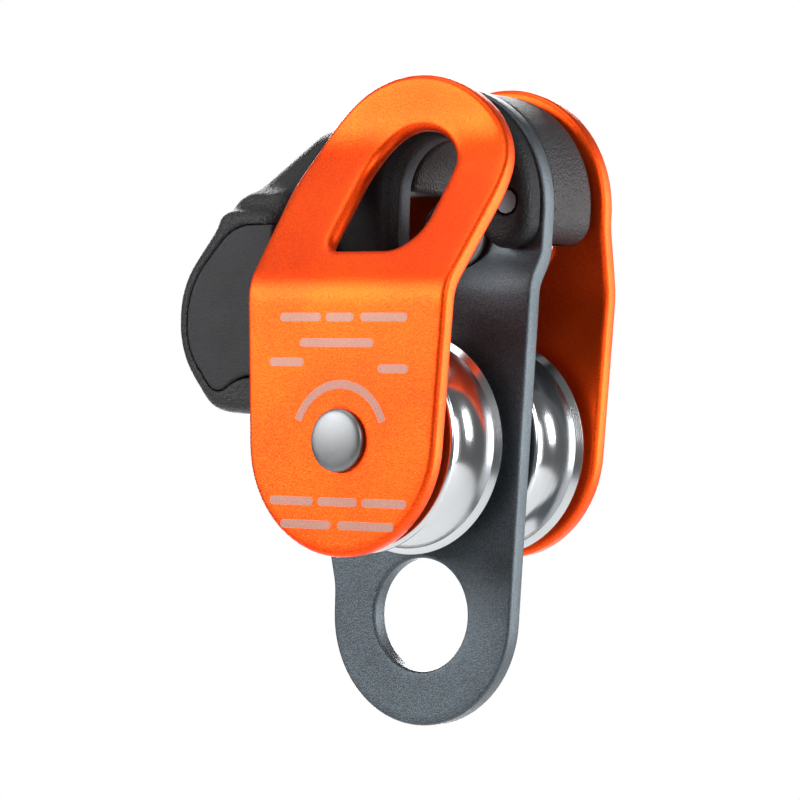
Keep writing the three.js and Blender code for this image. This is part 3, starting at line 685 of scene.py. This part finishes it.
def sheave(name, y):
    half, lip, centre = SHEAVE_W / 2, 0.8, GROOVE_BOTTOM_R + GROOVE_R
    groove = arc(centre, y, GROOVE_R, 262, 98, 4)
    rim = [(SHEAVE_R - lip + lip * math.sin(a), -half + lip - lip * math.cos(a))
           for a in np.linspace(0, math.pi / 2, 6)]
    recess = -half + RECESS_DEPTH
    shoulder = [(RECESS_R1, -half), (RECESS_R1 - 0.6, recess), (RECESS_R0 + 0.8, recess), (RECESS_R0, -half)]
    low = [(SHEAVE_BORE_R + 0.3, -half), *reversed(shoulder), *rim]
    profile = [(SHEAVE_BORE_R, y - half + 0.3)] + [(r, y + h) for r, h in low] + groove
    profile += [(r, y - h) for r, h in reversed(low)] + [(SHEAVE_BORE_R, y + half - 0.3)]
    return turned(name, profile, 160, smooth_angle=30)


dress(turned("axle_turned", rivet_profile(), 96), "centre", RIVET_STEEL, "bright_steel", "axle")
for end, y in (("front", FRONT_SHEAVE_Y), ("rear", REAR_SHEAVE_Y)):
    dress(sheave(f"{end}_sheave_turned", y), f"{end}_wheel", ALUMINIUM, "turned_aluminium", f"{end}_sheave")


# ---- Spacer, pivot pin ----

def spacer():
    outer_r = CENTRE_HEAD_R - 0.5
    outline = filleted([(outer_r, CENTRE_HEAD_Z, 0), (outer_r - 0.3, 34.6, 5), (11.6, 34.6, 4.2),
                        (11.6, 40, 0)], closed=False)
    outline += arc(0, ANCHOR_Z, SLOT_HALF, 0, 180)
    outline += filleted([(-SLOT_HALF, 44, 0), (-SLOT_HALF, 32.6, 1), (-outer_r + 0.4, 32.6, 4),
                         (-outer_r, CENTRE_HEAD_Z, 0)], closed=False)
    outline += arc(0, CENTRE_HEAD_Z, outer_r, 174, 6)
    block = Block((-outer_r, SPACER_Y0, 32.6), (outer_r, SPACER_Y1, CENTRE_HEAD_Z + outer_r), 0.35)
    shape = block.along_y(np.array(outline))
    back = CENTRE_TOP_Y - PLATE_T / 2 - GAP
    shape = np.maximum(meet(shape, SPACER_Y0 - block.y, 2.2), block.y - back)
    plate_room = np.array(strip_section(centre_line, PLATE_T + 2 * GAP))
    shape = np.maximum(shape, -block.along_x(plate_room))
    for x, z in SPACER_SCREWS:
        seat_side = np.hypot(block.x - x, block.z - z) - SCREW_SEAT_R
        seat = np.maximum(seat_side, block.y - SPACER_Y0 - SCREW_SEAT_DEPTH)
        shape = carve(shape, seat, 0.3)
    return surface("front_spacer_moulded", block, shape)


def pivot_flange():
    back = CENTRE_TOP_Y - PLATE_T / 2 - GAP
    front = back - 1.2
    r, chamfer = PIVOT_FLANGE_R, 0.25
    profile = [(0, front), (r - 1.2, front), (r - 0.9, front), (r - chamfer, front), (r, front + chamfer),
               (r, back), (PIVOT_R, back), (PIVOT_R, RING_Y0), (RING_GROOVE_R, RING_Y0),
               (RING_GROOVE_R, RING_Y1), (PIVOT_R, RING_Y1), (PIVOT_R - 0.2, PIVOT_END_Y), (0, PIVOT_END_Y)]
    return turned("cam_pivot_turned", profile, 96, PIVOT_X, PIVOT_Z)


dress(spacer(), "centre", SHADED_SPACER_PLASTIC, "black_plastic", "front_spacer")
dress(pivot_flange(), "centre", DARK_STEEL, "bright_steel", "cam_pivot_pin")


# ---- Lever ----

# The lever's part between the plates: hub, right leg, and an arch over the anchor slot to the left arm.
WINDOW_R = SLOT_HALF + GAP
LEVER_ARCH = np.array(
    arc(PIVOT_X, PIVOT_Z, HUB_R, 96, 320)
    + filleted([(11, 36.2, 0), (20.6, 36.2, 4.5), (LEVER_HEAD_R, 42.5, 0)], closed=False)
    + arc(0, HEAD_Z, LEVER_HEAD_R, 0, 108)
    + filleted([(-14, 61.6, 30), (-27.5, 57.9, 0), (-30, 45.5, 0), (-WINDOW_R, 45.5, 1.2),
                (-WINDOW_R, 47, 0)], closed=False)
    + arc(0, ANCHOR_Z, WINDOW_R, 168, 6)
    + [(WINDOW_R, 44.4), (PIVOT_X + 1, 44.4)])
PADDLE_FRONT = np.array(filleted([
    (PADDLE_INNER_X, PADDLE_FOOT_Z, 2), (PADDLE_INNER_X, 58, 1), (-30.4, 57.1, 2.5), (-38, 42.1, 12),
    (-38.8, 38.5, 8), (PADDLE_OUTER_X, 27.8, 16), (PADDLE_OUTER_X, 15.2, 17), (-38.2, 4.2, 10),
]))
PADDLE_SIDE = np.array(filleted([
    (PADDLE_Y0, PADDLE_FOOT_Z, 3), (LEVER_Y1, PADDLE_FOOT_Z, 3), (LEVER_Y1, 62, 0), (8.4, 62, 0),
    (-7.5, 46, 10), (-11.8, 44, 2.6), (-13.2, 41.4, 3.2), (PADDLE_Y0, 40.6, 1.9),
]))
HOLLOW_FRONT = np.array(filleted([
    (0, PADDLE_FOOT_Z + WALL, 0), (0, 41, 0), (-35.8, 41, 1), (-35.8, 37.6, 2),
    (PADDLE_OUTER_X + WALL, 26.6, 8), (PADDLE_OUTER_X + WALL, 16.4, 9), (-37.3, PADDLE_FOOT_Z + WALL, 6),
]))
LID_END_X = PADDLE_INNER_X - GAP
LID_T = 1.9
LID_CORNERS = [(-33.8, 38.3, 9), (-43.9, 27.3, 15), (-43.9, 16.2, 12), (-36.9, 7.6, 3), (-31.8, 11, 9)]
LID_TOP_Z, LID_FOOT_Z, LID_GAP = 38.3, 12, 0.12
LID = np.array(filleted([(LID_END_X, LID_TOP_Z, 0.5), *LID_CORNERS, (LID_END_X, LID_FOOT_Z, 0.5)]))
LID_SEAT = np.array(filleted([(0, LID_TOP_Z, 0), *LID_CORNERS, (0, LID_FOOT_Z, 0)]))
CAM_TAIL_POCKET = np.array([(0, 30), (16.6, 30), (16.6, 50), (11.6, 50), (8.4, 44.6), (0, 44.6)])


def lever_body():
    block = Block((PADDLE_OUTER_X, PADDLE_Y0, PADDLE_FOOT_Z),
                  (LEVER_HEAD_R, LEVER_Y1, HEAD_Z + LEVER_HEAD_R), 0.42)
    arch = meet(block.along_y(LEVER_ARCH), block.slice_y(LEVER_Y0, LEVER_Y1), 1.8)
    front = block.along_y(PADDLE_FRONT)
    paddle = meet(front, block.along_x(PADDLE_SIDE), 3.6)
    inner_side = block.x - PADDLE_INNER_X
    paddle = np.maximum(paddle, inner_side)
    hollow = np.maximum(block.along_y(HOLLOW_FRONT), block.slice_y(PADDLE_Y0 + 2 * WALL, LEVER_Y1 - WALL))
    body = merge(arch, carve(paddle, hollow, 0.6), 2.0)
    body = np.maximum(body, -np.maximum(block.along_y(CAM_TAIL_POCKET), block.slice_y(CAM_Y0, CAM_Y1)))
    from_pivot = np.hypot(block.x - PIVOT_X, block.z - PIVOT_Z)
    body = np.maximum(body, -np.maximum(from_pivot - HUB_R - GAP, block.slice_y(CAM_Y0, CAM_Y1)))
    body = np.maximum(body, -np.maximum(from_pivot - HUB_BORE_R, block.y - CAM_Y0))
    body = np.maximum(body, -np.maximum(from_pivot - HUB_BORE_R, RING_POCKET_Y - block.y))
    body = np.maximum(body, PIVOT_R + GAP - from_pivot)
    seat = block.along_y(LID_SEAT) - LID_GAP
    body = np.maximum(body, -np.maximum(seat, block.y - PADDLE_Y0 - LID_T - 0.4))
    return surface("lever_body_moulded", block, body)


def lever_lid():
    block = Block((-44, PADDLE_Y0, 7), (LID_END_X, PADDLE_Y0 + LID_T, 39), 0.35)
    lid = meet(block.along_y(LID), block.slice_y(PADDLE_Y0 + 0.05, PADDLE_Y0 + LID_T), 0.2)
    return surface("lever_lid_moulded", block, lid)


dress(lever_body(), "cam_lever", PLASTIC, "black_plastic", "lever_body")
dress(lever_lid(), "cam_lever", LIT_LID_PLASTIC, "black_plastic", "lever_lid")


# ---- Carried-over CAD nodes ----

CARRIED = {
    "pivot_retaining_ring": SPRING, "cam": STEEL, "cam_bush": BRONZE, "cam_rivet_1": STEEL,
    "cam_rivet_2": STEEL, "cam_spring": SPRING, "lever_stop_pin": STEEL,
}
WHEEL_PARTS = {
    "outer_bush": STEEL, "inner_bush": STEEL, "inner_race": STEEL, "outer_race": STEEL, "cage": SPRING,
    "seal_a": RUBBER, "seal_b": RUBBER, **{f"ball_{number}": STEEL for number in range(1, 8)},
}
for end in ("front", "rear"):
    CARRIED.update({f"{end}_{part}": material for part, material in WHEEL_PARTS.items()})
CARRIED.update({f"spacer_screw_{number}": DARK_STEEL for number in range(1, 4)})
for node, material in CARRIED.items():
    piece = frame["nodes"][node]
    piece.data.materials.clear()
    piece.data.materials.append(material)


# ---- Floor, lights and camera ----

FLOOR_DROP, FLOOR_R = 0.22, 0.7            # how far the floor is below the pulley, and its radius, in metres


def floor():
    """A round pale floor; the pulley hangs above it."""
    bm = bmesh.new()
    middle = Matrix.Translation((AXLE.x, AXLE.y, cad_low.z - FLOOR_DROP))
    bmesh.ops.create_circle(bm, cap_ends=True, segments=96, radius=FLOOR_R, matrix=middle)
    mesh = bpy.data.meshes.new("floor")
    bm.to_mesh(mesh)
    bm.free()
    plane = bpy.data.objects.new("floor", mesh)
    bpy.context.scene.collection.objects.link(plane)
    mesh.materials.append(shader("floor_white", (0.75, 0.75, 0.75), 0.9)[0])


def softbox(name, azimuth, elevation, distance, width, height, power):
    """A rectangular light round the object; azimuth 0 is in front and 90 on the right."""
    a, e = math.radians(azimuth), math.radians(elevation)
    away = Vector((math.sin(a) * math.cos(e), -math.cos(a) * math.cos(e), math.sin(e)))
    light = bpy.data.lights.new(name, "AREA")
    light.shape = "RECTANGLE"
    light.size, light.size_y = width, height
    light.energy = power
    lamp = bpy.data.objects.new(name, light)
    bpy.context.scene.collection.objects.link(lamp)
    lamp.location = (cad_low + cad_high) / 2 + away * distance
    lamp.rotation_mode = "QUATERNION"
    lamp.rotation_quaternion = away.to_track_quat("Z", "Y")
    lamp.visible_camera = False


def world(ambient):
    """A white backdrop that gives only a little light of its own."""
    backdrop = bpy.data.worlds.new("studio")
    bpy.context.scene.world = backdrop
    backdrop.use_nodes = True
    tree = backdrop.node_tree
    tree.nodes["Background"].inputs["Color"].default_value = (1, 1, 1, 1)
    seen = tree.nodes.new("ShaderNodeLightPath").outputs["Is Camera Ray"]
    tree.links.new(spread(tree, seen, ambient, 1.0), tree.nodes["Background"].inputs["Strength"])


CAMERA_AZIMUTH, CAMERA_ELEVATION, CAMERA_ROLL = 36.045, -0.534, 1.811     # in degrees
CAMERA_DISTANCE, CAMERA_LENS = 0.675, 171.33
AIM_RIGHT, AIM_UP = -0.00551, 0.00789     # where the camera aims, in metres from the axle's middle


def camera():
    azimuth, elevation, roll = map(math.radians, (CAMERA_AZIMUTH, CAMERA_ELEVATION, CAMERA_ROLL))
    back = Vector((math.sin(azimuth) * math.cos(elevation), -math.cos(azimuth) * math.cos(elevation),
                   math.sin(elevation)))
    right = Vector((math.cos(azimuth), math.sin(azimuth), 0))
    up = back.cross(right)
    right, up = (right * math.cos(roll) + up * math.sin(roll)), (up * math.cos(roll) - right * math.sin(roll))
    where = AXLE + back * CAMERA_DISTANCE
    aim = AXLE + right * AIM_RIGHT + up * AIM_UP
    back = (where - aim).normalized()
    right = up.cross(back).normalized()
    up = back.cross(right)
    data = bpy.data.cameras.new("camera")
    data.lens = CAMERA_LENS
    data.sensor_width = 36
    data.clip_start, data.clip_end = 0.01, 20
    eye = bpy.data.objects.new("camera", data)
    bpy.context.scene.collection.objects.link(eye)
    eye.matrix_world = Matrix((
        (right.x, up.x, back.x, where.x), (right.y, up.y, back.y, where.y),
        (right.z, up.z, back.z, where.z), (0, 0, 0, 1),
    ))
    bpy.context.scene.camera = eye


# Azimuth and elevation in degrees, distance, width and height in metres, power in watts.
LIGHTS = {
    "key": (-38, 16, 0.9, 0.6, 0.44, 8.2),
    "top": (-30, 72, 0.9, 0.7, 0.6, 4),
    "right_back": (126, 6, 0.9, 0.75, 0.8, 15),
    "left_back": (-142, 8, 0.9, 0.55, 0.8, 17),
    "camera_side": (64, 20, 1.1, 0.3, 0.5, 5.5),
}
floor()
world(0.16)
for light_name, settings in LIGHTS.items():
    softbox(light_name, *settings)
camera()
bpy.context.scene.view_settings.view_transform = "Standard"
